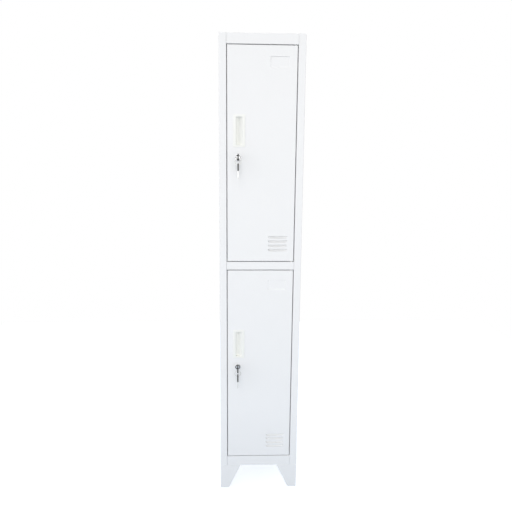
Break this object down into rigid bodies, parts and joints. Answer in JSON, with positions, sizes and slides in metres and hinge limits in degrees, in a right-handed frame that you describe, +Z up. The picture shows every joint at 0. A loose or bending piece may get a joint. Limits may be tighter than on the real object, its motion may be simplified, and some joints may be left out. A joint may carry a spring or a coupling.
{
  "type": "double metal locker",
  "caption": "Slim sheet-steel locker with an upper and a lower compartment, right-hinged inset doors with louvres, inset pulls and cam locks, on tapered corner legs.",
  "frame": {"origin": "Floor level, midway between the sides, and midway between the foremost point of the hanging keys and the back of the cabinet.", "axes": "+Z up, the doors face -Y, and +X is to the right of someone who faces the doors."},
  "size_m": [0.315, 0.495, 1.8],
  "materials": {
    "white_steel": "fine satin powder coat",
    "pull_plastic": "moulded, satin",
    "chrome": "polished plate",
    "zinc_steel": "bright zinc plate",
    "key_steel": "nickel plate",
    "black_plastic": "moulded, satin",
    "nylon": "natural",
    "rubber": "matt"
  },
  "bodies": {
    "cabinet": {"left_side_panel": "white_steel", "right_side_panel": "white_steel", "back_panel": "white_steel", "top_panel": "white_steel", "bottom_panel": "white_steel", "middle_shelf": "white_steel", "front_left_leg": "white_steel", "front_right_leg": "white_steel", "rear_left_leg": "white_steel", "rear_right_leg": "white_steel", "lower_pivot_pin": "zinc_steel", "lower_hinge_washer": "nylon", "lower_bottom_buffer": "rubber", "lower_top_buffer": "rubber", "lower_clothes_rail": "zinc_steel", "lower_left_rail_socket": "zinc_steel", "lower_right_rail_socket": "zinc_steel", "upper_pivot_pin": "zinc_steel", "upper_hinge_washer": "nylon", "upper_bottom_buffer": "rubber", "upper_top_buffer": "rubber", "upper_clothes_rail": "zinc_steel", "upper_left_rail_socket": "zinc_steel", "upper_right_rail_socket": "zinc_steel"},
    "lower_door": {"lower_door_skin": "white_steel", "lower_door_stiffener": "white_steel", "lower_handle_insert": "pull_plastic", "lower_hinge_bush": "nylon", "lower_top_pivot_bracket": "zinc_steel", "lower_top_pivot_spring": "zinc_steel", "lower_lock_housing": "chrome", "lower_lock_nut": "zinc_steel"},
    "lower_top_bolt": {"lower_top_pivot_bolt": "zinc_steel"},
    "lower_lock": {"lower_lock_plug": "chrome", "lower_lock_cam": "zinc_steel", "lower_cam_screw": "zinc_steel"},
    "lower_key": {"lower_key_blade": "key_steel", "lower_key_bow": "black_plastic"},
    "lower_ring": {"lower_key_ring": "key_steel"},
    "lower_spare_key": {"lower_spare_key_blade": "key_steel", "lower_spare_key_bow": "black_plastic"},
    "upper_door": {"upper_door_skin": "white_steel", "upper_door_stiffener": "white_steel", "upper_handle_insert": "pull_plastic", "upper_hinge_bush": "nylon", "upper_top_pivot_bracket": "zinc_steel", "upper_top_pivot_spring": "zinc_steel", "upper_lock_housing": "chrome", "upper_lock_nut": "zinc_steel"},
    "upper_top_bolt": {"upper_top_pivot_bolt": "zinc_steel"},
    "upper_lock": {"upper_lock_plug": "chrome", "upper_lock_cam": "zinc_steel", "upper_cam_screw": "zinc_steel"},
    "upper_key": {"upper_key_blade": "key_steel", "upper_key_bow": "black_plastic"},
    "upper_ring": {"upper_key_ring": "key_steel"},
    "upper_spare_key": {"upper_spare_key_blade": "key_steel", "upper_spare_key_bow": "black_plastic"}
  },
  "joints": [
    {"name": "lower_door_hinge", "type": "hinge", "parent": "cabinet", "child": "lower_door", "pos_m": [0.1195, -0.1965, 0.147], "axis": [0, 0, 1], "range_deg": [0, 110]},
    {"name": "lower_top_bolt_slide", "type": "slide", "parent": "lower_door", "child": "lower_top_bolt", "axis": [0, 0, 1], "range_m": [-0.007, 0], "stiffness_N_per_m": 300, "springref_m": 0.01, "deforming": ["lower_top_pivot_spring"]},
    {"name": "lower_lock_turn", "type": "hinge", "parent": "lower_door", "child": "lower_lock", "pos_m": [-0.087, -0.2025, 0.5395], "axis": [0, 1, 0], "range_deg": [0, 90]},
    {"name": "lower_key_slide", "type": "slide", "parent": "lower_lock", "child": "lower_key", "axis": [0, -1, 0], "range_m": [0, 0.02]},
    {"name": "lower_key_ring_swing", "type": "hinge", "parent": "lower_key", "child": "lower_ring", "pos_m": [-0.088, -0.2345, 0.5305], "axis": [0, 1, 0], "range_deg": [-91, 1]},
    {"name": "lower_spare_key_swing", "type": "hinge", "parent": "lower_ring", "child": "lower_spare_key", "pos_m": [-0.087, -0.2345, 0.5131], "axis": [1, 0, 0], "range_deg": [-60, 30]},
    {"name": "upper_door_hinge", "type": "hinge", "parent": "cabinet", "child": "upper_door", "pos_m": [0.1195, -0.1965, 0.972], "axis": [0, 0, 1], "range_deg": [0, 110]},
    {"name": "upper_top_bolt_slide", "type": "slide", "parent": "upper_door", "child": "upper_top_bolt", "axis": [0, 0, 1], "range_m": [-0.007, 0], "stiffness_N_per_m": 300, "springref_m": 0.01, "deforming": ["upper_top_pivot_spring"]},
    {"name": "upper_lock_turn", "type": "hinge", "parent": "upper_door", "child": "upper_lock", "pos_m": [-0.087, -0.2025, 1.3645], "axis": [0, 1, 0], "range_deg": [0, 90]},
    {"name": "upper_key_slide", "type": "slide", "parent": "upper_lock", "child": "upper_key", "axis": [0, -1, 0], "range_m": [0, 0.02]},
    {"name": "upper_key_ring_swing", "type": "hinge", "parent": "upper_key", "child": "upper_ring", "pos_m": [-0.088, -0.2345, 1.3555], "axis": [0, 1, 0], "range_deg": [-91, 1]},
    {"name": "upper_spare_key_swing", "type": "hinge", "parent": "upper_ring", "child": "upper_spare_key", "pos_m": [-0.087, -0.2345, 1.3381], "axis": [1, 0, 0], "range_deg": [-60, 30]}
  ],
  "couplings": [
    {"joint": "lower_key_ring_swing", "follows": "lower_lock_turn", "ratio": -1},
    {"joint": "upper_key_ring_swing", "follows": "upper_lock_turn", "ratio": -1}
  ]
}
